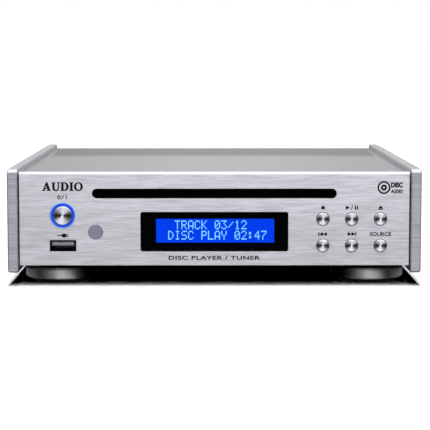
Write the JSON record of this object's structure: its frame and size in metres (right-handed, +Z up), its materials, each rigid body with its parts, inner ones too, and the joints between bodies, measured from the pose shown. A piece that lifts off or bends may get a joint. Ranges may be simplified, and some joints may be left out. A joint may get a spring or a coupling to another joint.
{
  "type": "cd player",
  "caption": "Compact slot-loading disc player with aluminium side plates, a lit text display, turned feet, round keys, a memory port and rear sockets.",
  "frame": {"origin": "bottom centre of the bounding box, on the surface that the feet stand on, midway between the side plates and midway from the power key's face to the ends of the rear sockets", "axes": "+X to the right seen from the front, +Y from the front panel to the back, +Z up"},
  "size_m": [0.215, 0.231, 0.061],
  "materials": {
    "brushed_aluminium": "brushed and clear anodised",
    "turned_aluminium": "turned and clear anodised",
    "silver_paint": "fine satin silver paint",
    "zinc_steel": "zinc plated sheet",
    "steel_screw": "plated steel",
    "black_rubber": "matt rubber",
    "clear_window": "polished clear acrylic",
    "black_plastic": "matt black moulding",
    "grey_casting": "grey moulding",
    "blue_backlight": "backlit liquid crystal glass",
    "blue_light": "light guide, lit blue",
    "grey_filter": "smoked infrared filter",
    "white_plastic": "white moulding",
    "red_plastic": "red moulding",
    "orange_plastic": "orange moulding",
    "black_felt": "wool felt",
    "green_board": "solder resist over glass laminate",
    "nickel_plate": "nickel plate",
    "wound_tape": "yellow polyester tape over windings",
    "brass_gear": "hobbed brass",
    "white_gear": "acetal moulding"
  },
  "bodies": {
    "case": {"aerial_socket": "nickel_plate", "board_parts": "black_plastic", "case_screws": "steel_screw", "chassis_base": "zinc_steel", "circuit_boards": "green_board", "coax_phono_insert": "orange_plastic", "display_mask": "black_plastic", "display_window": "clear_window", "foot_pads": "black_rubber", "foot_rings": "turned_aluminium", "front_board": "green_board", "front_panel": "brushed_aluminium", "guide_rods": "steel_screw", "inlet_pins": "nickel_plate", "jack_block": "black_plastic", "lcd_holder": "black_plastic", "lcd_panel": "blue_backlight", "left_phono_insert": "white_plastic", "left_side_plate": "brushed_aluminium", "mech_dampers": "black_rubber", "mech_frame": "zinc_steel", "optical_socket": "black_plastic", "phono_barrels": "nickel_plate", "power_inlet": "black_plastic", "power_light_ring": "blue_light", "rear_panel": "silver_paint", "remote_sensor_lens": "grey_filter", "right_phono_insert": "red_plastic", "right_side_plate": "brushed_aluminium", "side_plate_screws": "steel_screw", "sled_motor": "steel_screw", "slot_felts": "black_felt", "spindle_motor": "steel_screw", "tact_switches": "black_plastic", "top_cover": "silver_paint", "transformer": "wound_tape", "transformer_clamp": "zinc_steel", "traverse_deck": "zinc_steel", "usb_shell": "steel_screw", "usb_tongue": "white_plastic"},
    "stop_button": {"stop_button": "turned_aluminium"},
    "play_pause_button": {"play_pause_button": "turned_aluminium"},
    "eject_button": {"eject_button": "turned_aluminium"},
    "previous_button": {"previous_button": "turned_aluminium"},
    "next_button": {"next_button": "turned_aluminium"},
    "source_button": {"source_button": "turned_aluminium"},
    "power_button": {"power_button": "turned_aluminium"},
    "shutter": {"optical_shutter": "black_plastic"},
    "turntable": {"turntable": "black_plastic"},
    "clamp_arm": {"clamp_arm": "zinc_steel"},
    "clamper": {"clamper": "black_plastic"},
    "roller_carriage": {"roller_carriage": "zinc_steel", "load_motor": "steel_screw"},
    "load_roller": {"load_roller": "black_rubber"},
    "load_idler": {"load_idler": "white_gear"},
    "load_pinion": {"load_pinion": "brass_gear"},
    "pickup_sled": {"pickup_sled": "grey_casting"},
    "objective_lens": {"objective_lens": "clear_window"},
    "sled_gear": {"sled_gear": "white_gear"},
    "sled_pinion": {"sled_pinion": "brass_gear"}
  },
  "joints": [
    {"name": "stop_press", "type": "slide", "parent": "case", "child": "stop_button", "axis": [0, 1, 0], "range_m": [0, 0.0008], "stiffness_N_per_m": 350},
    {"name": "play_pause_press", "type": "slide", "parent": "case", "child": "play_pause_button", "axis": [0, 1, 0], "range_m": [0, 0.0008], "stiffness_N_per_m": 350},
    {"name": "eject_press", "type": "slide", "parent": "case", "child": "eject_button", "axis": [0, 1, 0], "range_m": [0, 0.0008], "stiffness_N_per_m": 350},
    {"name": "previous_press", "type": "slide", "parent": "case", "child": "previous_button", "axis": [0, 1, 0], "range_m": [0, 0.0008], "stiffness_N_per_m": 350},
    {"name": "next_press", "type": "slide", "parent": "case", "child": "next_button", "axis": [0, 1, 0], "range_m": [0, 0.0008], "stiffness_N_per_m": 350},
    {"name": "source_press", "type": "slide", "parent": "case", "child": "source_button", "axis": [0, 1, 0], "range_m": [0, 0.0008], "stiffness_N_per_m": 350},
    {"name": "power_press", "type": "slide", "parent": "case", "child": "power_button", "axis": [0, 1, 0], "range_m": [0, 0.0008], "stiffness_N_per_m": 400},
    {"name": "shutter_lift", "type": "hinge", "parent": "case", "child": "shutter", "pos_m": [0.06, 0.1056, 0.0336], "axis": [-1, 0, 0], "range_deg": [0, 80], "stiffness_Nm_per_rad": 0.0006, "springref_deg": -20.05},
    {"name": "turntable_spin", "type": "hinge", "parent": "case", "child": "turntable", "pos_m": [0, -0.024, 0.046], "axis": [0, 0, 1], "continuous": true},
    {"name": "clamp_arm_tilt", "type": "hinge", "parent": "case", "child": "clamp_arm", "pos_m": [0, 0.048, 0.0546], "axis": [1, 0, 0], "range_deg": [0, 1.6]},
    {"name": "clamper_spin", "type": "hinge", "parent": "clamp_arm", "child": "clamper", "pos_m": [0, -0.024, 0.0535], "axis": [0, 0, 1], "continuous": true},
    {"name": "roller_carriage_tilt", "type": "hinge", "parent": "case", "child": "roller_carriage", "pos_m": [0, -0.068, 0.036], "axis": [1, 0, 0], "range_deg": [0, 5]},
    {"name": "load_roller_spin", "type": "hinge", "parent": "roller_carriage", "child": "load_roller", "pos_m": [0, -0.09, 0.0437], "axis": [1, 0, 0], "continuous": true},
    {"name": "load_idler_spin", "type": "hinge", "parent": "roller_carriage", "child": "load_idler", "pos_m": [0.0655, -0.07798, 0.04025], "axis": [1, 0, 0], "continuous": true},
    {"name": "load_pinion_spin", "type": "hinge", "parent": "roller_carriage", "child": "load_pinion", "pos_m": [0.0655, -0.08088, 0.03016], "axis": [1, 0, 0], "continuous": true},
    {"name": "sled_travel", "type": "slide", "parent": "case", "child": "pickup_sled", "axis": [0, 1, 0], "range_m": [0, 0.036]},
    {"name": "lens_focus", "type": "slide", "parent": "pickup_sled", "child": "objective_lens", "axis": [0, 0, 1], "range_m": [-0.0004, 0.0004], "stiffness_N_per_m": 30},
    {"name": "sled_gear_spin", "type": "hinge", "parent": "case", "child": "sled_gear", "pos_m": [0.0357, 0, 0.0385], "axis": [0, 0, 1], "range_deg": [-590, 0]},
    {"name": "sled_pinion_spin", "type": "hinge", "parent": "case", "child": "sled_pinion", "pos_m": [0.04348, -0.00778, 0.04], "axis": [0, 0, 1], "range_deg": [0, 1573]}
  ],
  "couplings": [
    {"joint": "roller_carriage_tilt", "follows": "clamp_arm_tilt", "ratio": 3.125},
    {"joint": "load_idler_spin", "follows": "load_roller_spin", "ratio": -0.66667},
    {"joint": "load_pinion_spin", "follows": "load_roller_spin", "ratio": 1.6667},
    {"joint": "sled_gear_spin", "follows": "sled_travel", "rad_per_m": -285.71},
    {"joint": "sled_pinion_spin", "follows": "sled_travel", "rad_per_m": 761.9}
  ]
}
